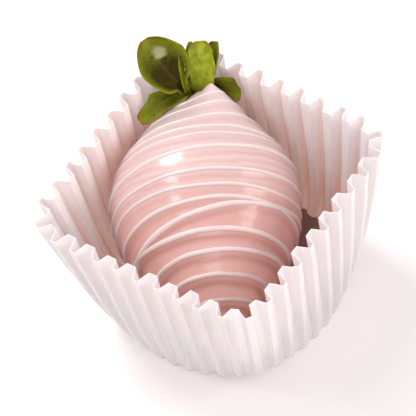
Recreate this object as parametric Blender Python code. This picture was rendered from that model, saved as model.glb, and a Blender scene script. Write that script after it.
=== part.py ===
"""A chocolate coated strawberry lying on its side in a fluted paper case.

Three solids: the paper case, the coated berry and its leaf crown.
Frame: origin at the centre of the underside of the case's floor, +Z up,
X and Y along the sides of the case's squared-up rim. Units are metres.
"""
import math
from functools import lru_cache

import bmesh
import bpy
import numpy as np
from mathutils import Vector

MM = 0.001

# ---------------------------------------------------------------- driving dimensions
# Paper case: a round sheet pressed into a cup, then squared up by a square cell.
CASE_HEIGHT = 35.5 * MM
FLOOR_RADIUS = 22.5 * MM
FLAT_SHARE = 0.9                # part of that radius which lies dead flat
RIM_HALF_WIDTH = 26.2 * MM      # centre to the mean line of the flutes
RIM_SQUARENESS = 9.0            # power of the superellipse that the rim follows
WALL_BULGE = 0.55               # below 1 the wall swings out early and then rises steeply
PAPER = 0.45 * MM
FLUTES = 40
FLUTE_DEPTH = 2.6 * MM          # crest to valley at the rim
FLUTE_START = 0.6 * MM          # crest to valley at the floor's edge
CREST_SHARE = 0.24              # part of a flute's pitch that is its flat outer crest
SLOPE_SHARE = 0.19              # part of the pitch that each steep side takes
WALL_ROWS = 5
OUTLINE_STEPS = 4000            # fineness of the curve that the flutes are spaced along

# Coated berry: a body of revolution about an axis that slopes down to the tip.
BERRY_RADIUS = 19.2 * MM
TIP_LENGTH = 32.0 * MM          # widest section to the tip
NECK_LENGTH = 21.1 * MM         # widest section to the cut-off neck end
TIP_POWER = 2.0
TIP_BLUNTNESS = 1.22
NECK_POWER = 1.83
NECK_REACH = 0.88               # where on its curve the shoulder is cut off
TIP_HEADING = 53.0              # degrees, turned from +X towards -Y
TIP_DIP = 16.0                  # degrees below the horizontal
BERRY_X = -5.7 * MM             # widest section's centre
BERRY_Y = 3.6 * MM
BERRY_CLEARANCE = 0.8 * MM      # lowest point of the coat, above the case's underside
FOOT_CUT = 0.25 * MM            # small flat where the soft coat set on its tray
PEAK_HEIGHT = 5.8 * MM          # peak that the coat was pulled up to at the neck
PEAK_TURN = 122.0               # degrees round the axis, from the side towards the top
PEAK_SPREAD = 25.0              # degrees
PEAK_LENGTH = 7.5 * MM
BERRY_SEGMENTS = 44
TIP_RINGS = 17
NECK_RINGS = 13

# Leaf crown: a hub at the neck end, with its sepals and a cut stalk.
CROWN_GAP = 0.45 * MM
HUB_RADIUS = 3.1 * MM
HUB_THICKNESS = 1.7 * MM
STALK_RADIUS = 1.1 * MM
STALK_FLARE = 1.3               # foot of the stalk against its cut end
STALK_LENGTH = 1.8 * MM
STALK_SUNK = 0.15               # part of the stalk that is buried in the hub
LEAF_THICKNESS = 0.5 * MM
LEAF_FOOT = 0.4                 # share of the hub's radius at which a sepal starts
LEAF_STEPS = 8
WALL_MARGIN = 0.9 * MM          # the leaves bend where they would touch the paper
COAT_MARGIN = 1.0 * MM
FITTING_ROUNDS = 6
# turn round the neck, length, width, lift off the berry, curl, twist, cupping of the edges
SEPALS = (
    (10, 13.0, 5.0, 10, -50, 40, 0.2),
    (56, 15.0, 11.0, 62, -54, 6, -0.35),
    (76, 9.0, 5.0, 40, 10, 0, 0.3),
    (106, 12.5, 7.0, 42, -8, -4, 0.2),
    (134, 13.0, 6.5, 54, -10, 8, 0.25),
    (156, 7.6, 5.0, 24, -2, -10, 0.0),
    (205, 6.0, 4.2, 16, 0, 0, 0.2),
    (248, 5.5, 4.0, 16, 0, 0, 0.2),
    (290, 6.5, 4.5, 14, 0, 0, 0.2),
    (332, 6.0, 4.5, 10, 0, 0, 0.2),
)


# ---------------------------------------------------------------- helpers
def clear_scene():
    for thing in list(bpy.data.objects):
        bpy.data.objects.remove(thing, do_unlink=True)


def material(name, colour, roughness):
    finish = bpy.data.materials.new(name)
    finish.use_nodes = True
    shader = finish.node_tree.nodes["Principled BSDF"]
    shader.inputs["Base Color"].default_value = (*colour, 1.0)
    shader.inputs["Roughness"].default_value = roughness
    shader.inputs["Metallic"].default_value = 0.0
    return finish


def mesh_object(name, points, faces, finish=None):
    mesh = bpy.data.meshes.new(name)
    mesh.from_pydata([tuple(map(float, p)) for p in points], [], faces)
    mesh.validate()
    thing = bpy.data.objects.new(name, mesh)
    bpy.context.collection.objects.link(thing)
    if finish:
        mesh.materials.append(finish)
    return thing


def band(first, second, count):
    """Quads between two closed rings of vertices, given by their first indices."""
    return [(first + i, first + (i + 1) % count, second + (i + 1) % count, second + i)
            for i in range(count)]


def point_outwards(thing):
    """Turns every face of a closed mesh to look out."""
    shape = bmesh.new()
    shape.from_mesh(thing.data)
    bmesh.ops.recalc_face_normals(shape, faces=shape.faces)
    shape.to_mesh(thing.data)
    shape.free()


# ---------------------------------------------------------------- paper case
def rim_outline():
    """Superellipse of the rim as points and outward normals, with its running length."""
    angle = np.linspace(0.0, 2.0 * math.pi, OUTLINE_STEPS + 1)
    power = RIM_SQUARENESS
    reach = (np.abs(np.cos(angle)) ** power + np.abs(np.sin(angle)) ** power) ** (-1.0 / power)
    points = np.stack([reach * np.cos(angle), reach * np.sin(angle)], axis=1) * RIM_HALF_WIDTH
    step = np.gradient(points, axis=0)
    normals = np.stack([step[:, 1], -step[:, 0]], axis=1)
    normals /= np.linalg.norm(normals, axis=1)[:, None]
    length = np.concatenate([[0.0], np.cumsum(np.linalg.norm(np.diff(points, axis=0), axis=1))])
    return points, normals, length / length[-1]


def flute_samples():
    """Place along the rim (0 to 1) and side (+0.5 crest, -0.5 valley) of each fold."""
    valley_start = CREST_SHARE + SLOPE_SHARE
    valley_end = 1.0 - SLOPE_SHARE
    wave = ((0.0, 0.5), (CREST_SHARE, 0.5), (valley_start, -0.5), (valley_end, -0.5))
    return [((flute + phase) / FLUTES, side) for flute in range(FLUTES) for phase, side in wave]


def build_case():
    points, normals, length = rim_outline()
    samples = flute_samples()
    place = np.array([s[0] for s in samples])
    side = np.array([s[1] for s in samples])
    rim = np.stack([np.interp(place, length, points[:, k]) for k in (0, 1)], axis=1)
    rim_normal = np.stack([np.interp(place, length, normals[:, k]) for k in (0, 1)], axis=1)
    turn = 2.0 * math.pi * place
    round_normal = np.stack([np.cos(turn), np.sin(turn)], axis=1)
    vertices = []
    faces = []
    count = len(samples)
    for row in range(WALL_ROWS + 1):
        rise = row / WALL_ROWS
        swing = rise ** WALL_BULGE
        mean = (1.0 - swing) * FLOOR_RADIUS * round_normal + swing * rim
        out = (1.0 - swing) * round_normal + swing * rim_normal
        out /= np.linalg.norm(out, axis=1)[:, None]
        depth = FLUTE_START + (FLUTE_DEPTH - FLUTE_START) * rise
        ring = mean + out * (depth * side)[:, None]
        height = PAPER / 2 + (CASE_HEIGHT - PAPER / 2) * rise
        vertices += [(x, y, height) for x, y in ring]
    for row in range(WALL_ROWS):
        faces += band(row * count, (row + 1) * count, count)
    flat = len(vertices)
    vertices += [(x, y, PAPER / 2) for x, y in FLAT_SHARE * FLOOR_RADIUS * round_normal]
    faces += band(flat, 0, count)
    faces.append(tuple(reversed(range(flat, flat + count))))
    finish = material("case_paper", (0.86, 0.78, 0.79), 0.6)
    case = mesh_object("paper_case", vertices, faces, finish)
    wall = case.modifiers.new("paper thickness", "SOLIDIFY")
    wall.thickness = PAPER
    wall.offset = 0.0
    wall.use_even_offset = True
    wall.use_quality_normals = True
    return case


# ---------------------------------------------------------------- coated berry
@lru_cache(maxsize=None)
def berry_axes():
    """Unit vectors: towards the tip, level to the side, and up across the axis."""
    heading = math.radians(TIP_HEADING)
    dip = math.radians(TIP_DIP)
    level = math.cos(dip)
    tip = np.array([level * math.cos(heading), -level * math.sin(heading), -math.sin(dip)])
    side = np.cross(tip, [0.0, 0.0, 1.0])
    side /= np.linalg.norm(side)
    return tip, side, np.cross(side, tip)


def berry_radius(along):
    """Radius of the plain turned profile at a distance towards the tip."""
    if along > 0.0:
        share = min(1.0, along / TIP_LENGTH)
        return BERRY_RADIUS * (1.0 - share ** TIP_POWER) ** (1.0 / TIP_BLUNTNESS)
    share = NECK_REACH * min(1.0, -along / NECK_LENGTH)
    return BERRY_RADIUS * (1.0 - share ** NECK_POWER)


def unevenness(turn, along):
    """Gentle lobes of a grown berry, as a share of its radius."""
    return (0.012 * math.sin(2.0 * turn + 0.6) + 0.008 * math.sin(3.0 * turn + 90.0 * along)
            + 0.006 * math.sin(5.0 * turn - 140.0 * along))


def peak(turn, along):
    """Height of the pulled-up peak of coat at the upper side of the neck."""
    off = (turn - math.radians(PEAK_TURN) + math.pi) % (2.0 * math.pi) - math.pi
    back = along + NECK_LENGTH
    fade = (off / math.radians(PEAK_SPREAD)) ** 2 + (back / PEAK_LENGTH) ** 2
    return PEAK_HEIGHT * math.exp(-fade)


def coat_reach(turn, along):
    """Distance from the axis to the coat's surface."""
    return berry_radius(along) * (1.0 + unevenness(turn, along)) + peak(turn, along)


@lru_cache(maxsize=None)
def berry_points():
    tip, side, up = berry_axes()
    stations = [math.cos(0.5 * math.pi * k / TIP_RINGS) * TIP_LENGTH for k in range(1, TIP_RINGS + 1)]
    stations += [-NECK_LENGTH * k / NECK_RINGS for k in range(1, NECK_RINGS + 1)]
    rows = [np.array([tip * TIP_LENGTH])]
    for along in stations:
        ring = []
        for k in range(BERRY_SEGMENTS):
            turn = 2.0 * math.pi * k / BERRY_SEGMENTS
            outwards = math.cos(turn) * side + math.sin(turn) * up
            ring.append(tip * along + coat_reach(turn, along) * outwards)
        rows.append(np.array(ring))
    points = np.concatenate(rows)
    lift = BERRY_CLEARANCE - FOOT_CUT - points[:, 2].min()
    points += np.array([BERRY_X, BERRY_Y, lift])
    points[:, 2] = np.maximum(points[:, 2], BERRY_CLEARANCE)
    centre = np.array([BERRY_X, BERRY_Y, lift])
    return points, centre


def build_berry():
    points, _ = berry_points()
    count = BERRY_SEGMENTS
    rings = TIP_RINGS + NECK_RINGS
    faces = [(0, 1 + (i + 1) % count, 1 + i) for i in range(count)]
    for ring in range(rings - 1):
        faces += band(1 + ring * count, 1 + (ring + 1) * count, count)
    last = 1 + (rings - 1) * count
    faces.append(tuple(last + i for i in range(count)))
    finish = material("pink_coat", (0.80, 0.50, 0.49), 0.25)
    berry = mesh_object("coated_strawberry", points, faces, finish)
    berry.data.shade_smooth()
    return berry


# ---------------------------------------------------------------- leaf crown
def neck_frame():
    """Centre of the crown's hub and the axes round it; `away` points off the berry."""
    tip, side, up = berry_axes()
    _, centre = berry_points()
    return centre - tip * (NECK_LENGTH + CROWN_GAP), -tip, side, up


def leaf_width(share):
    """Half width of a sepal, 0 to 1, from its narrow foot to its pointed end."""
    return min(1.0, math.sin(math.pi * share ** 0.8) ** 0.75 + 0.45 * (1.0 - share) ** 2)


def off_paper(point):
    """Shift that draws a point in where it would come too near the paper wall."""
    if point[2] > CASE_HEIGHT + WALL_MARGIN:
        return np.zeros(3)
    rise = min(1.0, max(0.0, point[2] / CASE_HEIGHT))
    swing = rise ** WALL_BULGE
    distance = math.hypot(point[0], point[1])
    power = RIM_SQUARENESS
    squared = (abs(point[0]) ** power + abs(point[1]) ** power) ** (1.0 / power)
    wall = (1.0 - swing) * FLOOR_RADIUS + swing * RIM_HALF_WIDTH * distance / squared
    clear = wall - 0.5 * FLUTE_DEPTH * rise - 0.5 * PAPER - WALL_MARGIN
    return np.array([point[0], point[1], 0.0]) * (min(1.0, clear / distance) - 1.0)


def off_coat(point):
    """Shortest shift, outwards or off the neck's end, that lifts a point off the coat."""
    tip, side, up = berry_axes()
    _, centre = berry_points()
    offset = point - centre
    along = float(offset @ tip)
    across = offset - along * tip
    distance = np.linalg.norm(across)
    turn = math.atan2(float(across @ up), float(across @ side))
    outwards = max(0.0, coat_reach(turn, along) + COAT_MARGIN - distance)
    backwards = max(0.0, along + NECK_LENGTH + COAT_MARGIN)
    if outwards < backwards:
        return across / distance * outwards
    return -tip * backwards


def fitted(section):
    """A leaf's section moved whole, in small turns, until it clears the coat and the paper."""
    for shift_of in (off_paper, off_coat) * FITTING_ROUNDS:
        section = section + max((shift_of(point) for point in section), key=np.linalg.norm)
    return section


def leaf_sections(turn, length, width, lift, curl, twist):
    """Centre, across and outward vectors of a curling sepal at each step of its length."""
    origin, away, side, up = neck_frame()
    turn, lift, curl, twist = (math.radians(a) for a in (turn, lift, curl, twist))
    radial = math.cos(turn) * side + math.sin(turn) * up
    point = origin + away * HUB_THICKNESS * 0.5 + radial * HUB_RADIUS * LEAF_FOOT
    sections = []
    for k in range(LEAF_STEPS + 1):
        share = k / LEAF_STEPS
        angle = lift + curl * share
        forward = math.cos(angle) * radial + math.sin(angle) * away
        face = -math.sin(angle) * radial + math.cos(angle) * away
        across = np.cross(forward, face)
        roll = twist * min(1.0, 2.0 * share)
        across, face = (math.cos(roll) * across + math.sin(roll) * face,
                        math.cos(roll) * face - math.sin(roll) * across)
        half = 0.5 * width * MM * leaf_width(min(share, 0.95))
        sections.append((point.copy(), across, face, half))
        point += forward * length * MM / LEAF_STEPS
    return sections


def build_leaf(name, row):
    points = []
    for centre, across, face, half in leaf_sections(*row[:-1]):
        cup = row[-1] * half
        top = fitted(np.array([centre + across * half * place + face * rise
                               for place, rise in ((-1.0, cup), (0.0, 0.0), (1.0, cup))]))
        points += list(top)
        points += [point - face * LEAF_THICKNESS for point in reversed(top)]
    faces = [tuple(range(6))]
    for k in range(LEAF_STEPS):
        faces += band(6 * k, 6 * (k + 1), 6)
    faces.append(tuple(reversed(range(6 * LEAF_STEPS, 6 * LEAF_STEPS + 6))))
    leaf = mesh_object(name, points, faces)
    point_outwards(leaf)
    return leaf


def keep_outer_body(thing):
    """Applies the unions and fills the small pockets shut in between crossing leaves."""
    joined = thing.evaluated_get(bpy.context.evaluated_depsgraph_get())
    thing.data = bpy.data.meshes.new_from_object(joined)
    thing.modifiers.clear()
    shape = bmesh.new()
    shape.from_mesh(thing.data)
    waiting = set(shape.verts)
    bodies = []
    while waiting:
        body = set()
        front = [waiting.pop()]
        while front:
            corner = front.pop()
            body.add(corner)
            near = {edge.other_vert(corner) for edge in corner.link_edges} & waiting
            waiting -= near
            front += near
        bodies.append(body)
    outer = max(bodies, key=len)
    pockets = [corner for body in bodies if body is not outer for corner in body]
    bmesh.ops.delete(shape, geom=pockets, context="VERTS")
    shape.to_mesh(thing.data)
    shape.free()


def build_crown():
    origin, away, side, up = neck_frame()
    finish = material("leaf_green", (0.13, 0.20, 0.02), 0.5)
    bpy.ops.mesh.primitive_cylinder_add(vertices=16, radius=HUB_RADIUS, depth=HUB_THICKNESS)
    crown = bpy.context.object
    crown.name = "leaf_crown"
    crown.location = Vector(origin + away * HUB_THICKNESS / 2)
    crown.rotation_euler = Vector(away).to_track_quat("Z", "Y").to_euler()
    crown.data.materials.append(finish)
    bpy.ops.mesh.primitive_cone_add(vertices=10, radius1=STALK_RADIUS * STALK_FLARE,
                                    radius2=STALK_RADIUS, depth=STALK_LENGTH)
    stalk = bpy.context.object
    stalk.name = "stalk"
    stalk.location = Vector(origin + away * (HUB_THICKNESS + STALK_LENGTH * (0.5 - STALK_SUNK)))
    stalk.rotation_euler = crown.rotation_euler
    shapes = [stalk] + [build_leaf(f"sepal_{k}", row) for k, row in enumerate(SEPALS)]
    for shape in shapes:
        shape.hide_render = True
        shape.display_type = "WIRE"
        join = crown.modifiers.new(f"join {shape.name}", "BOOLEAN")
        join.operation = "UNION"
        join.solver = "MANIFOLD"
        join.object = shape
    keep_outer_body(crown)
    return crown


clear_scene()
build_case()
build_berry()
build_crown()
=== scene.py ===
import math
import bpy
import numpy as np
from mathutils import Matrix, Quaternion, Vector, noise
from mathutils.bvhtree import BVHTree


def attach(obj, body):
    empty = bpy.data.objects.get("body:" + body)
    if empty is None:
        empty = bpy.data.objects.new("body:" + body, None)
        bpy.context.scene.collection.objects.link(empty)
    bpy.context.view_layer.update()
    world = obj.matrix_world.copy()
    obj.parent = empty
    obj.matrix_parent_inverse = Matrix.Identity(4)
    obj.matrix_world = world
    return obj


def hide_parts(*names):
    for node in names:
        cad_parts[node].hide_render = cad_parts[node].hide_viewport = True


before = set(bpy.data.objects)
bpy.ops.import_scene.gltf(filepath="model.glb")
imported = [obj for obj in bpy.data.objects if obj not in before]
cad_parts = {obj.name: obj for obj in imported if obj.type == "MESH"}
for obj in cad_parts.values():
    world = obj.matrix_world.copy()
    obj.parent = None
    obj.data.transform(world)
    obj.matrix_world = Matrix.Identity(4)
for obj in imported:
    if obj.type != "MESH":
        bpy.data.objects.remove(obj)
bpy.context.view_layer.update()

MM = 0.001


# ================================================================ camera
# A long lens held well above and to the right of the case, tipped a little
# to its side, so that the berry's tip points down and slightly to the right.
LENS_MM = 461.9
CAMERA_PLACE = Vector((0.4529, -0.4693, 0.8693))
AIM_POINT = Vector((-0.0044, 0.0024, 0.0200))
CAMERA_LEAN = math.radians(-13.25)

bpy.ops.object.select_all(action="DESELECT")
bpy.ops.object.camera_add(location=CAMERA_PLACE)
camera = bpy.context.object
camera.name = "camera"
camera.data.lens = LENS_MM
camera.data.sensor_width = 36.0
camera.data.clip_end = 20.0
camera.rotation_mode = "QUATERNION"
sight = (AIM_POINT - CAMERA_PLACE).to_track_quat("-Z", "Y")
camera.rotation_quaternion = sight @ Quaternion((0.0, 0.0, 1.0), CAMERA_LEAN)
bpy.context.scene.camera = camera


# ================================================================ pleated paper case
# A round sheet of white greaseproof paper, pressed between a ribbed punch and
# its die into a cup of forty pleats. The square cell it is packed in has pushed
# its flared rim into a square with tight corners. It stands on its flat floor.
CASE_HEIGHT = 35.5 * MM
FLOOR_RADIUS = 22.5 * MM
RIM_HALF_WIDTH = 26.2 * MM
RIM_SQUARENESS = 9.0
WALL_BULGE = 0.55
PAPER = 0.14 * MM
PLEATS = 40
PLEAT_DEPTH = 2.6 * MM
PLEAT_START = 0.6 * MM
CREST_SHARE = 0.24
SLOPE_SHARE = 0.19
TROUGH_MIDDLE = 0.62
FOLD_RADIUS_SHARE = 0.022
WALL_ROWS = 16
FLOOR_ROWS = 5
FLOOR_FLAT_SHARE = 0.72
LOWEST_ROW = 0.1 * MM
SAME_PLACE = 0.01 * MM
RIM_UNEVEN = 0.35 * MM
DEPTH_UNEVEN = 0.16
SHIFT_UNEVEN = 0.05
TWIST_UNEVEN = 0.16
WALL_RIPPLE = 0.22 * MM
WALL_RIPPLE_SIZE = 7.0 * MM


def take(*pieces):
    """Selects these pieces alone, the first of them active."""
    bpy.ops.object.select_all(action="DESELECT")
    for piece in pieces:
        piece.select_set(True)
    bpy.context.view_layer.objects.active = pieces[0]


def places_of(piece):
    """Corner places of a mesh as an array, one row each."""
    flat = np.empty(3 * len(piece.data.vertices))
    piece.data.vertices.foreach_get("co", flat)
    return flat.reshape(-1, 3)


def move_to(piece, places):
    """Puts every corner of a mesh at its new place."""
    piece.data.vertices.foreach_set("co", np.ascontiguousarray(places).ravel())
    piece.data.update()


def give_attribute(piece, name, values):
    """Stores one number per corner for the piece's material to read."""
    layer = piece.data.attributes.new(name, "FLOAT", "POINT")
    layer.data.foreach_set("value", np.ascontiguousarray(values, dtype=np.float32))


def apply_modifiers(piece):
    """Makes every modifier of a piece part of its mesh."""
    take(piece)
    for modifier in list(piece.modifiers):
        bpy.ops.object.modifier_apply(modifier=modifier.name)


def pleat_phases():
    """Places across one pleat, each fold of the paper taking three close corners."""
    folds = (0.0, CREST_SHARE, CREST_SHARE + SLOPE_SHARE, 1.0 - SLOPE_SHARE)
    phases = []
    for fold, following in zip(folds, folds[1:] + (1.0,)):
        phases += [fold - FOLD_RADIUS_SHARE, fold, fold + FOLD_RADIUS_SHARE]
        phases.append((fold + following) / 2.0)
    return phases


def pleat_side(phase):
    """How far out the paper lies at a place across a pleat, from -0.5 to 0.5."""
    corners = (-SLOPE_SHARE, 0.0, CREST_SHARE, CREST_SHARE + SLOPE_SHARE, 1.0 - SLOPE_SHARE, 1.0)
    sides = (-0.5, 0.5, 0.5, -0.5, -0.5, 0.5)
    return float(np.interp(phase, corners, sides))


def rim_curve():
    """The squared-up rim: places, outward normals and running length, 0 to 1."""
    angle = np.linspace(0.0, 2.0 * math.pi, 4001)
    power = RIM_SQUARENESS
    reach = (np.abs(np.cos(angle)) ** power + np.abs(np.sin(angle)) ** power) ** (-1.0 / power)
    curve = np.stack([reach * np.cos(angle), reach * np.sin(angle)], axis=1) * RIM_HALF_WIDTH
    step = np.gradient(curve, axis=0)
    normal = np.stack([step[:, 1], -step[:, 0]], axis=1)
    normal /= np.linalg.norm(normal, axis=1)[:, None]
    length = np.concatenate([[0.0], np.cumsum(np.linalg.norm(np.diff(curve, axis=0), axis=1))])
    return curve, normal, length / length[-1]


phases = pleat_phases()
ring_count = PLEATS * len(phases)
bpy.ops.object.select_all(action="DESELECT")
bpy.ops.mesh.primitive_circle_add(vertices=ring_count, radius=FLOOR_RADIUS)
case = bpy.context.object
case.name = "pleated_case"
bpy.ops.object.mode_set(mode="EDIT")
bpy.ops.mesh.select_all(action="SELECT")
row_lift = (0.0, 0.0, CASE_HEIGHT / WALL_ROWS)
for _ in range(WALL_ROWS):
    bpy.ops.mesh.extrude_region_move(TRANSFORM_OT_translate={"value": row_lift})
bpy.ops.object.mode_set(mode="OBJECT")
for corner in case.data.vertices:
    corner.select = corner.co.z < LOWEST_ROW
for edge in case.data.edges:
    edge.select = all(case.data.vertices[i].select for i in edge.vertices)
for face in case.data.polygons:
    face.select = False
bpy.ops.object.mode_set(mode="EDIT")
for row in range(FLOOR_ROWS):
    share = (FLOOR_ROWS - row - 0.7) / (FLOOR_ROWS - row + 0.3)
    bpy.ops.mesh.extrude_region_move(TRANSFORM_OT_translate={"value": (0.0, 0.0, 0.0)})
    bpy.ops.transform.resize(value=(share, share, 1.0))
bpy.ops.mesh.extrude_region_move(TRANSFORM_OT_translate={"value": (0.0, 0.0, 0.0)})
bpy.ops.mesh.merge(type="CENTER")
bpy.ops.object.mode_set(mode="OBJECT")

curve, curve_normal, curve_length = rim_curve()
chance = np.random.default_rng(41)
pleat_depth = 1.0 + DEPTH_UNEVEN * chance.uniform(-1.0, 1.0, PLEATS)
pleat_shift = SHIFT_UNEVEN * chance.uniform(-1.0, 1.0, PLEATS)
pleat_twist = TWIST_UNEVEN * chance.uniform(-1.0, 1.0, PLEATS)
pleat_height = RIM_UNEVEN * chance.uniform(-1.0, 0.4, PLEATS)
places = places_of(case)
pressed = places.copy()
in_fold = np.zeros(len(places))
height_share = np.zeros(len(places))
for index, (x, y, z) in enumerate(places):
    radius = math.hypot(x, y)
    if radius < SAME_PLACE:
        pressed[index] = (0.0, 0.0, PAPER)
        continue
    step = round((math.atan2(y, x) / (2.0 * math.pi)) % 1.0 * ring_count) % ring_count
    pleat, part = divmod(step, len(phases))
    phase = phases[part]
    side = pleat_side(phase)
    rise = z / CASE_HEIGHT
    along = (pleat + phase + pleat_shift[pleat] * rise) / PLEATS
    turn = 2.0 * math.pi * (pleat + phase) / PLEATS
    round_normal = np.array([math.cos(turn), math.sin(turn)])
    if z > LOWEST_ROW:
        swing = rise ** WALL_BULGE
        rim = np.array([np.interp(along % 1.0, curve_length, curve[:, k]) for k in (0, 1)])
        rim_normal = np.array([np.interp(along % 1.0, curve_length, curve_normal[:, k])
                               for k in (0, 1)])
        out = (1.0 - swing) * round_normal + swing * rim_normal
        out /= np.linalg.norm(out)
        depth = PLEAT_START + (PLEAT_DEPTH * pleat_depth[pleat] - PLEAT_START) * rise
        side += pleat_twist[pleat] * (phase - TROUGH_MIDDLE) * rise * (side < 0.0)
        level = (1.0 - swing) * FLOOR_RADIUS * round_normal + swing * rim + out * depth * side
        ripple = noise.noise(Vector((*level, z)) / WALL_RIPPLE_SIZE + Vector((3.1, 0.0, 0.0)))
        level = level + out * WALL_RIPPLE * ripple * rise
        height = PAPER + (CASE_HEIGHT - PAPER) * rise + pleat_height[pleat] * rise ** 3
        pressed[index] = (level[0], level[1], height)
    else:
        fade = max(0.0, (radius / FLOOR_RADIUS - FLOOR_FLAT_SHARE) / (1.0 - FLOOR_FLAT_SHARE))
        level = (radius + PLEAT_START * side * fade) * round_normal
        pressed[index] = (level[0], level[1], PAPER)
    in_fold[index] = 0.5 + side * min(1.0, 0.3 + rise)
    height_share[index] = rise
move_to(case, pressed)
give_attribute(case, "fold", in_fold)
give_attribute(case, "height", height_share)

take(case)
bpy.ops.object.mode_set(mode="EDIT")
bpy.ops.mesh.select_all(action="SELECT")
bpy.ops.mesh.normals_make_consistent(inside=False)
bpy.ops.object.mode_set(mode="OBJECT")
wall = case.modifiers.new("paper", "SOLIDIFY")
wall.thickness = PAPER
wall.offset = 0.0
wall.use_even_offset = True
apply_modifiers(case)
# thickening keeps one face of the sheet first in the list and adds the other after it
half = len(case.data.vertices) // 2
reach = np.linalg.norm(places_of(case)[:, :2], axis=1)
inside_first = reach[:half].mean() < reach[half:].mean()
give_attribute(case, "inside", np.repeat([inside_first, not inside_first], half))
bpy.ops.object.shade_smooth_by_angle(angle=math.radians(40.0))


class Link:
    """A shader value that takes part in sums: each sum adds its Math node."""

    def __init__(self, finish, socket):
        self.finish = finish
        self.socket = socket

    def sum(self, operation, first, second):
        return self.finish.add("Math", {"operation": operation}, {0: first, 1: second})

    def __add__(self, other):
        return self.sum("ADD", self, other)

    def __radd__(self, other):
        return self.sum("ADD", other, self)

    def __sub__(self, other):
        return self.sum("SUBTRACT", self, other)

    def __rsub__(self, other):
        return self.sum("SUBTRACT", other, self)

    def __mul__(self, other):
        return self.sum("MULTIPLY", self, other)

    def __rmul__(self, other):
        return self.sum("MULTIPLY", other, self)

    def __pow__(self, other):
        return self.sum("POWER", self, other)


class Finish:
    """A material while it is mixed: its shader and the one way a node is added."""

    def __init__(self, name):
        self.material = bpy.data.materials.new(name)
        self.material.use_nodes = True
        self.tree = self.material.node_tree
        self.shader = self.tree.nodes["Principled BSDF"]

    def add(self, kind, settings, sockets, output=0):
        """Adds a node: its settings first, then the values or links of its sockets."""
        node = self.tree.nodes.new("ShaderNode" + kind)
        for key, value in settings.items():
            setattr(node, key, value)
        for key, value in sockets.items():
            self.plug(node.inputs[key], value)
        return Link(self, node.outputs[output])

    def plug(self, socket, value):
        """Links a shader value to a socket, or sets the socket to a number or colour."""
        if isinstance(value, Link):
            self.tree.links.new(value.socket, socket)
        elif isinstance(value, tuple) and len(value) == 3 and len(socket.default_value) == 4:
            socket.default_value = (*value, 1.0)
        else:
            socket.default_value = value

    def set(self, **sockets):
        """Sets or links the shader's own sockets, named with _ for a space."""
        for key, value in sockets.items():
            self.plug(self.shader.inputs[key.replace("_", " ")], value)

    def mix(self, share, first, second):
        """Mixes two colours."""
        return self.add("Mix", {"data_type": "RGBA"}, {0: share, 6: first, 7: second}, output=2)

    def attribute(self, name):
        """A number stored on the mesh's corners."""
        return self.add("Attribute", {"attribute_name": name}, {}, output="Fac")

    def noise(self, scale, detail, roughness=0.5):
        """Clouds in the object's own space, so many to a metre."""
        where = self.add("TexCoord", {}, {}, output="Object")
        sockets = {"Vector": where, "Scale": scale, "Detail": detail, "Roughness": roughness}
        return self.add("TexNoise", {}, sockets, output="Fac")

    def spread(self, value, low, high, new_low=0.0, new_high=1.0):
        """Stretches a stretch of a value to new limits, and holds it there."""
        sockets = {"Value": value, "From Min": low, "From Max": high,
                   "To Min": new_low, "To Max": new_high}
        return self.add("MapRange", {"clamp": True}, sockets)

    def swing(self, value):
        """A value folded into a wave that runs from 0 to a half and back."""
        return self.add("Math", {"operation": "PINGPONG"}, {0: value, 1: 0.5})

    def bump(self, height, distance):
        """Fine relief for the shader's Normal, too fine to model."""
        return self.add("Bump", {}, {"Height": height, "Distance": distance, "Strength": 1.0})


paper = Finish("greaseproof_paper")
fibres = paper.noise(2600.0, 4.0, 0.65)
clouds = paper.noise(160.0, 3.0)
fold = paper.attribute("fold")
inside = paper.attribute("inside")
# painted shade: the sheet is coloured darker and pinker towards its outward folds, the recesses
# seen from inside
sheet_colour = paper.mix(paper.spread(fold, 0.0, 1.0), (0.87, 0.81, 0.82), (0.82, 0.72, 0.72))
cloudy = paper.spread(clouds, 0.35, 0.7, 0.0, 0.35)
sheet_colour = paper.mix(cloudy, sheet_colour, (0.86, 0.76, 0.76))
# painted shade and bounce light: the inner face is coloured rose-brown low down in the folds, and
# wherever the coat lies close to it, for shade and pink light off the coat, by an attribute that is
# given once the coat has its last shape
up_wall = paper.attribute("height")
low_down = up_wall + 0.14 * clouds - 0.5 * (fold - 0.5)
painted_shade = paper.spread(low_down, 0.90, 0.20) ** 1.15 * inside
painted_shade = painted_shade * paper.spread(up_wall, 0.02, 0.20, 0.8, 1.0)
beside_coat = paper.attribute("beside_coat") * inside
painted_shade = painted_shade + beside_coat * (1.0 - painted_shade)
sheet_colour = paper.mix(painted_shade, sheet_colour, (0.62, 0.29, 0.21))
# painted shadow: darker red-brown still where the coat lies closest, for the contact shadow
contact_shadow = paper.spread(beside_coat, 0.38, 0.85, 0.0, 0.7)
sheet_colour = paper.mix(contact_shadow, sheet_colour, (0.40, 0.15, 0.10))
paper.set(Base_Color=sheet_colour, Roughness=paper.spread(fibres, 0.3, 0.7, 0.5, 0.68))
paper.set(Normal=paper.bump(fibres + 0.6 * clouds, 0.00004))
paper.set(Subsurface_Weight=0.75, Subsurface_Radius=(1.0, 0.86, 0.84), Subsurface_Scale=0.0012)
case.data.materials.append(paper.material)
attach(case, "root")
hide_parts("paper_case")


# ================================================================ coated berry
# A large whole strawberry, held by its leaves and dipped in a melted pink
# confectionery coat, then laid on its side to set. The coat ran to an even
# thickness, left a small flat where it lay and a sharp peak at the neck.
BERRY_CENTRE = Vector((-5.7, 3.6, 20.224)) * MM
TIP_HEADING = math.radians(53.0)
TIP_DIP = math.radians(16.0)
COAT_ROLL = 0.16 * MM
COAT_ROLL_SIZE = 9.0 * MM
COAT_RIPPLE = 0.05 * MM
COAT_RIPPLE_SIZE = 3.0 * MM
# from the middle of the berry to the middle of its leaves
HUB_REACH = 21.6 * MM
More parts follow.
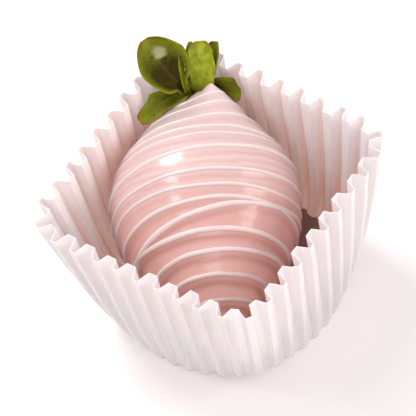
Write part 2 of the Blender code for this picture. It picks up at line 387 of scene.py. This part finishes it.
# the neck's own shape, from the middle of the leaves (to the side, off the berry, upwards):
# the flat the coat ran off, and how far in it lies; the place the last drop was pulled up
FLAT_PLACE = (-7.4, -0.8, 5.8)
FLAT_PULL = (2.1, 0.0, -0.6)
FLAT_REACH = 4.8 * MM
PEAK_PLACE = (-5.0, -0.4, 8.0)
PEAK_PULL = (0.2, 0.8, 1.1)
PEAK_REACH = 3.2 * MM

to_tip = Vector((math.cos(TIP_DIP) * math.cos(TIP_HEADING),
                 -math.cos(TIP_DIP) * math.sin(TIP_HEADING), -math.sin(TIP_DIP)))
to_side = to_tip.cross(Vector((0.0, 0.0, 1.0))).normalized()
to_top = to_side.cross(to_tip)
off_berry = -to_tip
hub_centre = BERRY_CENTRE + off_berry * HUB_REACH
neck_axes = np.array([to_side, off_berry, to_top])
flat_place = np.array(hub_centre) + np.array(FLAT_PLACE) @ neck_axes * MM
peak_place = np.array(hub_centre) + np.array(PEAK_PLACE) @ neck_axes * MM

coat = bpy.data.objects.new("berry_coat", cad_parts["coated_strawberry"].data.copy())
bpy.context.collection.objects.link(coat)
coat.data.materials.clear()
take(coat)
bpy.ops.object.mode_set(mode="EDIT")
bpy.ops.mesh.select_all(action="SELECT")
bpy.ops.mesh.remove_doubles(threshold=SAME_PLACE)
bpy.ops.mesh.tris_convert_to_quads(face_threshold=math.radians(30),
                                   shape_threshold=math.radians(60))
bpy.ops.object.mode_set(mode="OBJECT")
round_off = coat.modifiers.new("round off", "SUBSURF")
round_off.levels = 3
round_off.render_levels = 3
apply_modifiers(coat)
smooth = places_of(coat)
normals = np.array([corner.normal[:] for corner in coat.data.vertices])
rolled = smooth.copy()
for index, place in enumerate(smooth):
    roll = COAT_ROLL * noise.noise(Vector(place) / COAT_ROLL_SIZE)
    ripple = COAT_RIPPLE * noise.noise(Vector(place) / COAT_RIPPLE_SIZE)
    rolled[index] = place + normals[index] * (roll + ripple)
    near_flat = max(0.0, 1.0 - np.linalg.norm(place - flat_place) / FLAT_REACH)
    near_peak = max(0.0, 1.0 - np.linalg.norm(place - peak_place) / PEAK_REACH)
    pull = 0.5 * (1.0 - math.cos(math.pi * near_flat)) * np.array(FLAT_PULL)
    pull += near_peak ** 1.3 * np.array(PEAK_PULL)
    rolled[index] += pull @ neck_axes * MM
move_to(coat, rolled)
give_attribute(coat, "along", (smooth - np.array(BERRY_CENTRE)) @ np.array(to_tip) / MM)
take(coat)
bpy.ops.object.shade_smooth()

pink = Finish("pink_confectionery_coat")
drifts = pink.noise(110.0, 2.0)
grain = pink.noise(900.0, 3.0, 0.6)
pores = pink.noise(3500.0, 2.0)
coat_along = pink.attribute("along")
# painted sheen and shade: the coat is coloured paler and greyer towards the neck for the broad
# sheen there, darker towards the tip side for shade, and brighter again at the very tip for light
# it lacks
sheen_to_neck = pink.spread(coat_along + 5.0 * drifts, 13.0, -11.0)
lit_tone = pink.mix(sheen_to_neck, (0.70, 0.378, 0.34), (0.71, 0.555, 0.56))
lit_tone = pink.mix(pink.spread(coat_along, 14.0, 24.0), lit_tone, (0.97, 0.59, 0.52))
coat_colour = pink.mix(pink.spread(drifts, 0.3, 0.7, 0.0, 0.3), lit_tone, (0.78, 0.50, 0.48))
coat_colour = pink.mix(pink.spread(grain, 0.45, 0.75, 0.0, 0.2), coat_colour, (0.70, 0.37, 0.34))
# faint milky bands between the middle and the neck, left as the berry was drawn out
band = pink.swing(coat_along * 0.6 + 1.3 * drifts)
milky = pink.spread(band, 0.12, 0.48, 0.0, 0.38) * pink.spread(coat_along, -9.0, -5.0)
milky = milky * pink.spread(coat_along, 7.0, 1.0)
coat_colour = pink.mix(milky, coat_colour, (0.83, 0.70, 0.70))
# painted shadow: the coat is coloured darker in the hollow just below each drizzle line, for the
# line's shadow
line_shadow = pink.attribute("hollow_and_shadow") * (0.5 + 0.6 * drifts)
coat_colour = pink.mix(line_shadow, coat_colour, (0.55, 0.245, 0.20))
pink.set(Base_Color=coat_colour, Roughness=pink.spread(grain, 0.3, 0.7, 0.42, 0.52))
pink.set(Coat_Weight=0.8, Coat_Roughness=0.15, Coat_IOR=1.5)
pink.set(Normal=pink.bump(grain + 0.2 * pores, 0.00005))
pink.set(Subsurface_Weight=0.25, Subsurface_Radius=(1.0, 0.45, 0.35), Subsurface_Scale=0.0015)
pink.set(IOR=1.46)
coat.data.materials.append(pink.material)
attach(coat, "root")
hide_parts("coated_strawberry")


# ================================================================ white drizzle
# A thin string of melted white confectionery, flicked back and forth across
# the berry from a piping bag. It set as raised lines that run over the top and
# down both sides, closer together towards the neck.
LINE_RADIUS = 0.49 * MM
# how deep a line sits in the coat: near the neck, and from the berry's middle on
LINE_SINK = (0.20 * MM, 0.08 * MM)
SINK_PLACES = (-16.0, 6.0)
LINE_POINTS = 44
LINE_WANDER = 0.22
LINE_SWELL = 0.22
LINE_TURNS = (-14.0, 194.0)
END_UNEVEN = 12.0
# for each line: place along the axis at its crest, turn of the crest, how much further
# down the tip side it has run at a quarter turn to the left and to the right, its thickness
LINES = (
    (24.8, 115, 2.2, 0.9, 1.05),
    (20.6, 98, 4.6, 2.6, 1.10),
    (16.3, 106, 4.4, 2.2, 1.10),
    (12.6, 99, 3.0, 3.8, 1.15),
    (7.5, 136, 5.0, 2.6, 1.15),
    (6.4, 102, 5.5, 5.5, 0.90),
    (3.7, 74, 8.5, 1.6, 0.80),
    (0.5, 92, 5.0, 1.8, 0.85),
    (-4.8, 112, 4.4, 2.6, 0.95),
    (-8.2, 100, 3.4, 1.8, 0.70),
    (-10.1, 96, 3.0, 3.0, 0.85),
    (-13.2, 118, 3.2, 2.0, 0.80),
    (-16.4, 108, 2.2, 2.2, 0.75),
    (-19.0, 114, 1.4, 1.4, 0.85),
)
# the coat's own relief round a line, with places and widths in mm along the axis
NECK_RELIEF = 0.3
RIDGE = 0.14 * MM
RIDGE_WIDTH = 0.9
HOLLOW = 0.10 * MM
HOLLOW_PLACE = 1.35
HOLLOW_WIDTH = 0.75
# how far the shade and bounce light painted on the paper reach from the coat
SHADE_PAINT_REACH = 4.4 * MM


def line_along(number, turn):
    """Place along the axis, in mm, where a line crosses a turn in degrees."""
    crest, crest_turn, left_run, right_run, _ = LINES[number]
    off = (turn - crest_turn) / 90.0
    run = (left_run if off < 0.0 else right_run) * off * off
    return crest + run + LINE_WANDER * noise.noise(Vector((number * 3.3, turn / 26.0, 1.0)))


# the soft coat rises to each line and dips just below it, on the tip side, where the line's shadow
# is painted into the coat's colour
places = places_of(coat)
normals = np.array([corner.normal[:] for corner in coat.data.vertices])
from_centre = places - np.array(BERRY_CENTRE)
vertex_turn = np.degrees(np.arctan2(from_centre @ np.array(to_top),
                                    from_centre @ np.array(to_side)))
vertex_along = from_centre @ np.array(to_tip) / MM
turns = np.linspace(-30.0, 210.0, 121)
rise = np.zeros(len(places))
hollow_and_shadow = np.zeros(len(places))
for number in range(len(LINES)):
    level = np.interp(vertex_turn % 360.0, turns, [line_along(number, turn) for turn in turns])
    below = vertex_along - level
    rise = np.maximum(rise, np.exp(-(below / RIDGE_WIDTH) ** 2))
    hollow_and_shadow = np.maximum(hollow_and_shadow, np.exp(-((below - HOLLOW_PLACE) / HOLLOW_WIDTH) ** 2))
on_top = np.clip((np.sin(np.radians(vertex_turn)) + 0.3) / 0.3, 0.0, 1.0)
tipward = np.clip((vertex_along - 2.0) / 10.0, NECK_RELIEF, 1.0)
relief = (RIDGE * rise - HOLLOW * hollow_and_shadow) * on_top * tipward
move_to(coat, places + normals * relief[:, None])
give_attribute(coat, "hollow_and_shadow", hollow_and_shadow * (1.0 - rise) * on_top * tipward)
coat_surface = BVHTree.FromPolygons([corner.co.copy() for corner in coat.data.vertices],
                                    [tuple(face.vertices) for face in coat.data.polygons])
# painted shade: the paper is coloured rose-brown where the coat lies close to it, for its shadow
# and pink bounce light
gaps = np.array([coat_surface.find_nearest(Vector(place))[3] for place in places_of(case)])
give_attribute(case, "beside_coat", np.exp(-gaps / SHADE_PAINT_REACH))


def on_coat(turn, along):
    """Place and outward normal on the coat at a turn round the axis and a place along it."""
    outwards = math.cos(turn) * to_side + math.sin(turn) * to_top
    start = BERRY_CENTRE + to_tip * along
    place, normal, _, _ = coat_surface.ray_cast(start + outwards * 50.0 * MM, -outwards)
    return place, normal


lines = []
for number, (_, _, _, _, thickness) in enumerate(LINES):
    bpy.ops.object.select_all(action="DESELECT")
    bpy.ops.curve.primitive_nurbs_path_add(radius=10.0 * MM)
    line = bpy.context.object
    line.name = f"drizzle_line_{number}"
    string = line.data.splines[0]
    string.points.add(LINE_POINTS - len(string.points))
    first_turn = LINE_TURNS[0] + END_UNEVEN * noise.noise(Vector((number * 1.7, 0.3, 0.0)))
    last_turn = LINE_TURNS[1] + END_UNEVEN * noise.noise(Vector((number * 1.7, 5.3, 0.0)))
    for k in range(LINE_POINTS):
        share = k / (LINE_POINTS - 1)
        turn = first_turn + (last_turn - first_turn) * share
        down_axis = line_along(number, turn)
        place, normal = on_coat(math.radians(turn), down_axis * MM)
        swell = 1.0 + LINE_SWELL * noise.noise(Vector((number * 2.1, turn / 17.0, 9.0)))
        end = min(1.0, 0.35 + 9.0 * min(share, 1.0 - share))
        sunk = np.interp(down_axis, SINK_PLACES, LINE_SINK)
        string.points[k].co = (*(place - normal * sunk), 1.0)
        string.points[k].radius = thickness * swell * end
    line.location = (0.0, 0.0, 0.0)
    string.use_endpoint_u = True
    string.resolution_u = 3
    line.data.bevel_depth = LINE_RADIUS
    line.data.bevel_resolution = 3
    line.data.use_fill_caps = True
    bpy.ops.object.convert(target="MESH")
    lines.append(bpy.context.object)
take(*lines)
bpy.ops.object.join()
drizzle = bpy.context.object
drizzle.name = "white_drizzle"
from_centre = places_of(drizzle) - np.array(BERRY_CENTRE)
give_attribute(drizzle, "along", from_centre @ np.array(to_tip) / MM)
bpy.ops.object.shade_smooth()

white = Finish("white_confectionery")
milk = white.noise(300.0, 2.0)
pale = white.spread(white.attribute("along") + 4.0 * milk, 8.0, -12.0)
line_colour = white.mix(pale, (0.82, 0.63, 0.615), (0.81, 0.675, 0.675))
white.set(Base_Color=white.mix(0.3 * milk, line_colour, (0.90, 0.80, 0.79)), Roughness=0.33)
white.set(Normal=white.bump(white.noise(1400.0, 2.0), 0.00003))
white.set(Subsurface_Weight=0.2, Subsurface_Radius=(1.0, 0.6, 0.5), Subsurface_Scale=0.001)
drizzle.data.materials.append(white.material)
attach(drizzle, "root")


# ================================================================ leaf crown
# The berry's own green calyx: pointed sepals with toothed edges and sunken
# veins round a small hub, curled as they dried, and the stub of the cut stalk.
LEAF_THICKNESS = 0.22 * MM
LEAF_ROWS = 36
LEAF_COLUMNS = 16
MIDLINE_ROUNDINGS = 30
HUB_RADIUS = 3.0 * MM
STALK_RADIUS = 1.0 * MM
COAT_ROOM = 0.45 * MM
PAPER_ROOM = 0.55 * MM
# how far from the middle a leaf may reach at UNDER_RIM, and how much less lower down
PAPER_INSIDE = 24.1 * MM
UNDER_RIM = 32.8 * MM
WALL_LEAN = 0.2
RIM_SLOPE = 1.6 * MM
VEINS = 5.0
VEIN_SLANT = 1.1
VEIN_RELIEF = 0.10 * MM
MIDRIB_DEPTH = 0.16 * MM
MIDRIB_WIDTH = 0.09
# for each sepal: the places its midline passes, all from the hub (to the side, off the berry,
# upwards), its roll, its width, how cupped it is, how long its narrow foot is, where it is widest,
# its teeth, how blunt its end is and how dark it is coloured, partly for withering and partly as
# painted shade
SEPALS = (
    (((2.7, 1.5, 8.2), (6.2, 6.5, 7.6), (8.4, 10.8, 10.2)),
     0, 14.0, 0.55, 0.36, 0.50, 0, 0.74, 1.0),
    (((0.8, 2.4, 8.0), (1.6, 7.2, 9.2)), 20, 3.6, 0.3, 0.0, 0.4, 3, 0.3, 0.82),
    (((-0.3, 2.4, 6.4), (-0.9, 9.4, 9.4)), 30, 4.4, 0.3, 0.0, 0.6, 4, 0.6, 0.6),
    (((-1.8, 1.6, 6.8), (-3.2, 4.6, 9.4), (-3.3, 8.4, 11.4)),
     -5, 7.4, 0.3, 0.0, 0.62, 5, 0.95, 0.05),
    (((-3.4, 1.6, 5.6), (-5.6, 4.6, 8.6), (-6.4, 8.3, 10.2)),
     -35, 6.4, 0.35, 0.0, 0.72, 4, 0.95, 0.9),
    (((-4.4, -0.2, 5.0), (-9.8, -2.2, 6.2)), 25, 5.6, 0.25, 0.0, 0.6, 0, 0.97, 0.88),
    (((1.8, 0.2, 6.6), (6.5, -2.1, 6.4), (11.2, -5.2, 6.3)),
     -6, 5.6, 0.2, 0.0, 0.52, 0, 0.95, 0.84),
    (((2.0, 0.3, -1.8), (3.0, -0.8, -3.8)), 180, 3.4, 0.2, 0.0, 0.5, 3, 0.5, 0.5),
    (((-2.0, 0.3, -1.8), (-3.0, -0.8, -3.4)), 180, 3.4, 0.2, 0.0, 0.5, 3, 0.5, 0.5),
    (((0.0, 0.3, -1.9), (0.0, -0.8, -4.0)), 180, 3.6, 0.2, 0.0, 0.5, 3, 0.5, 0.5),
)


def sepal_width(share, foot, fullest, teeth, blunt):
    """Half width of a sepal, 0 to 1, along its length, with teeth on its outer half."""
    close = 1.0 - 0.72 * blunt
    open_out = close * fullest / (1.0 - fullest)
    spread = min(0.995, max(0.0, (share - foot) / (1.0 - foot)))
    body = (spread / fullest) ** open_out * ((1.0 - spread) / (1.0 - fullest)) ** close
    base = 0.25 * max(0.0, 1.0 - max(0.0, share - foot) * 5.0)
    tooth = (spread * (teeth + 1)) % 1.0
    notch = 0.14 * tooth * min(1.0, max(0.0, (spread - 0.35) / 0.25)) * (spread < 0.96)
    return max(0.02, base, body * (1.0 - notch))


def laid(place):
    """The place a leaf really takes: clear of the coat, and over or inside the paper."""
    near, normal, _, _ = coat_surface.find_nearest(place)
    depth = (place - near).dot(normal)
    if depth < COAT_ROOM:
        place = near + normal * COAT_ROOM
    reach = max(abs(place.x), abs(place.y))
    if place.z < UNDER_RIM:
        inside = PAPER_INSIDE - WALL_LEAN * (UNDER_RIM - place.z)
        pull = min(1.0, inside / reach)
        return Vector((place.x * pull, place.y * pull, place.z))
    at_rim = min(1.0, max(0.0, (reach - PAPER_INSIDE) / RIM_SLOPE + 1.0))
    place.z += max(0.0, CASE_HEIGHT + PAPER_ROOM - place.z) * at_rim
    return place


def sepal_rows(passed, roll):
    """Midline of a sepal, row by row: its place, the way across it and the way it faces."""
    passed = np.array(((0.0, 0.3, 0.0), *passed)) @ neck_axes * MM + np.array(hub_centre)
    run = np.concatenate([[0.0], np.cumsum(np.linalg.norm(np.diff(passed, axis=0), axis=1))])
    spots = np.linspace(0.0, run[-1], LEAF_ROWS + 1)
    middle = np.stack([np.interp(spots, run, passed[:, k]) for k in range(3)], axis=1)
    for _ in range(MIDLINE_ROUNDINGS):
        middle[1:-1] = 0.5 * middle[1:-1] + 0.25 * (middle[:-2] + middle[2:])
    chord = Vector(middle[-1] - middle[0]).normalized()
    facing = Quaternion(chord, math.radians(roll)) @ (to_top - to_top.project(chord)).normalized()
    rows = []
    for place, way in zip(middle, np.gradient(middle, axis=0)):
        forward = Vector(way).normalized()
        face = (facing - facing.project(forward)).normalized()
        rows.append((Vector(place), forward.cross(face), face))
    return rows


def grow_sepal(name, passed, roll, width, cup, foot, fullest, teeth, blunt, dried_and_shaded):
    """A sepal: a flat grid shaped to its outline, then cupped, curled and given a thickness."""
    bpy.ops.object.select_all(action="DESELECT")
    bpy.ops.mesh.primitive_grid_add(x_subdivisions=LEAF_COLUMNS, y_subdivisions=LEAF_ROWS, size=2.0)
    sepal = bpy.context.object
    sepal.name = name
    rows = sepal_rows(passed, roll)
    flat = places_of(sepal)
    shaped = flat.copy()
    for index, (x, y, _) in enumerate(flat):
        share = (y + 1.0) / 2.0
        centre, across, face = rows[round(share * LEAF_ROWS)]
        half = 0.5 * width * MM * sepal_width(share, foot, fullest, teeth, blunt)
        bend = 2.2 * cup * x
        flank = half * math.sin(bend) / (2.2 * cup)
        rise = half * (1.0 - math.cos(bend)) / (2.2 * cup)
        vein = abs(((share * VEINS - abs(x) * VEIN_SLANT) % 1.0) - 0.5)
        relief = VEIN_RELIEF * (vein - 0.25) * min(1.0, half / MM)
        relief -= MIDRIB_DEPTH * math.exp(-(x / MIDRIB_WIDTH) ** 2)
        waver = 0.35 * MM * noise.noise(Vector((x * 1.3, y * 2.6, width))) * abs(x) * share
        shaped[index] = laid(centre + across * flank + face * (rise + relief + waver))
    move_to(sepal, shaped)
    give_attribute(sepal, "across", flat[:, 0])
    give_attribute(sepal, "along", (flat[:, 1] + 1.0) / 2.0)
    give_attribute(sepal, "dried_and_shaded", np.full(len(flat), dried_and_shaded))
    sheet = sepal.modifiers.new("leaf", "SOLIDIFY")
    sheet.thickness = LEAF_THICKNESS
    sheet.offset = 0.0
    soften = sepal.modifiers.new("soften", "SUBSURF")
    soften.levels = 1
    soften.render_levels = 1
    apply_modifiers(sepal)
    return sepal


sepals = [grow_sepal(f"sepal_{number}", *row) for number, row in enumerate(SEPALS)]
for number, sepal in enumerate(sepals):
    give_attribute(sepal, "big_left_sepal", np.full(len(sepal.data.vertices), number == 0))

bpy.ops.object.select_all(action="DESELECT")
bpy.ops.mesh.primitive_uv_sphere_add(segments=24, ring_count=14, radius=HUB_RADIUS)
hub = bpy.context.object
bpy.ops.object.mode_set(mode="EDIT")
bpy.ops.mesh.select_all(action="SELECT")
bpy.ops.transform.resize(value=(1.0, 1.0, 0.42))
bpy.ops.object.mode_set(mode="OBJECT")
bpy.ops.object.select_all(action="DESELECT")
bpy.ops.mesh.primitive_cylinder_add(vertices=20, radius=STALK_RADIUS, depth=2.6 * MM,
                                    location=(0.0, 0.0, 1.7 * MM))
stalk = bpy.context.object
bpy.ops.object.mode_set(mode="EDIT")
bpy.ops.mesh.select_all(action="SELECT")
bpy.ops.mesh.bevel(offset=0.18 * MM, segments=2)
bpy.ops.object.mode_set(mode="OBJECT")
bpy.ops.object.transform_apply(location=True, rotation=False, scale=False)
take(hub, stalk)
bpy.ops.object.join()
hub_turn = off_berry.to_track_quat("Z", "Y").to_matrix().to_4x4()
hub.data.transform(Matrix.Translation(hub_centre) @ hub_turn)
give_attribute(hub, "across", np.full(len(hub.data.vertices), 0.5))
give_attribute(hub, "along", np.full(len(hub.data.vertices), 0.3))
give_attribute(hub, "dried_and_shaded", np.full(len(hub.data.vertices), 0.5))
take(hub, *sepals)
bpy.ops.object.join()
crown = bpy.context.object
crown.name = "calyx"
bpy.ops.object.shade_smooth_by_angle(angle=math.radians(50.0))

green = Finish("sepal_green")
across = green.add("Math", {"operation": "ABSOLUTE"}, {0: green.attribute("across")})
along = green.attribute("along")
mottle = green.noise(700.0, 3.0)
dried_and_shaded = green.attribute("dried_and_shaded")
big_left_sepal = green.attribute("big_left_sepal")
blade = green.mix(green.spread(mottle, 0.35, 0.65), (0.24, 0.28, 0.012), (0.42, 0.47, 0.04))
# painted shade: a sepal is coloured darker the more shaded and withered it is given, most of all
# from its heart for the shadow in its cup, and more on the dark ones that hang off the side
heart = green.spread(across, 0.4, 0.95, 1.0, 0.0) * green.spread(along, 0.55, 0.97, 1.0, 0.0)
shade = dried_and_shaded * (0.28 + 0.62 * heart + 0.22 * green.spread(mottle, 0.5, 0.7))
shade = shade + green.spread(dried_and_shaded, 0.80, 0.95, 0.0, 0.35) * (1.0 - big_left_sepal)
shade = shade + 0.3 * heart * big_left_sepal
blade = green.mix(shade, blade, (0.042, 0.030, 0.003))
midrib = green.spread(across, 0.02, 0.10, 1.0, 0.0)
blade = green.mix(midrib * (0.35 - 0.3 * dried_and_shaded), blade, (0.36, 0.42, 0.09))
rib = green.swing(along * VEINS - across * VEIN_SLANT)
vein_share = green.spread(rib, 0.0, 0.12, 0.22, 0.0) * (1.0 - 0.8 * dried_and_shaded)
blade = green.mix(vein_share, blade, (0.28, 0.33, 0.06))
# painted highlight: a pale patch near the end of the big left sepal
beside_highlight = green.attribute("across") - 0.22
beyond_highlight = along - 0.80
painted_highlight = beside_highlight * beside_highlight * 14.0 + beyond_highlight * beyond_highlight * 160.0 + 1.6 * (mottle - 0.5)
painted_highlight = green.spread(painted_highlight, 0.3, 1.3, 1.0, 0.0) * big_left_sepal
blade = green.mix(painted_highlight * 0.8, blade, (0.52, 0.46, 0.26))
tips = green.spread(along + 0.15 * across + 0.2 * mottle, 1.08, 1.22)
blade = green.mix(tips * 0.7, blade, (0.22, 0.09, 0.02))
green.set(Base_Color=blade, Roughness=green.spread(mottle, 0.3, 0.7, 0.38, 0.52))
green.set(Specular_IOR_Level=0.06)
green.set(Normal=green.bump(green.noise(2400.0, 3.0), 0.00006))
green.set(Subsurface_Weight=0.15, Subsurface_Radius=(0.4, 0.8, 0.1), Subsurface_Scale=0.0006)
crown.data.materials.append(green.material)
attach(crown, "root")
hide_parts("leaf_crown")


# ================================================================ floor and light
# A plain pale table in a white room. A soft box high at the back left and a small
# one in front give the coat its bright spots; two wide low ones light its right
# flank and its tip.
bpy.ops.object.select_all(action="DESELECT")
bpy.ops.mesh.primitive_plane_add(size=3.0, location=(0.0, 0.0, 0.0))
table = bpy.context.object
table.name = "table"
matt = Finish("pale_table")
matt.set(Base_Color=(0.90, 0.88, 0.88), Roughness=0.7)
table.data.materials.append(matt.material)


def add_soft_box(name, azimuth, elevation, distance, size, watts):
    """A square soft light that looks at the berry from a compass turn and a height."""
    azimuth = math.radians(azimuth)
    elevation = math.radians(elevation)
    way = Vector((math.cos(elevation) * math.cos(azimuth),
                  math.cos(elevation) * math.sin(azimuth),
                  math.sin(elevation)))
    bpy.ops.object.light_add(type="AREA", location=BERRY_CENTRE + way * distance)
    box = bpy.context.object
    box.name = name
    box.data.shape = "SQUARE"
    box.data.size = size
    box.data.energy = watts
    box.rotation_mode = "QUATERNION"
    box.rotation_quaternion = (-way).to_track_quat("-Z", "Y")


add_soft_box("back_left_box", 165.0, 49.0, 1.2, 0.42, 6.6)
add_soft_box("front_box", -136.0, 60.0, 1.2, 0.22, 1.4)
add_soft_box("right_box", 30.0, 26.0, 1.2, 0.50, 3.4)
add_soft_box("tip_box", -50.0, 26.0, 1.2, 0.60, 3.0)

room = bpy.data.worlds.new("white room")
room.use_nodes = True
glow = room.node_tree.nodes["Background"]
glow.inputs["Color"].default_value = (1.0, 0.965, 0.955, 1.0)
glow.inputs["Strength"].default_value = 0.75
bpy.context.scene.world = room
bpy.context.scene.view_settings.view_transform = "Standard"
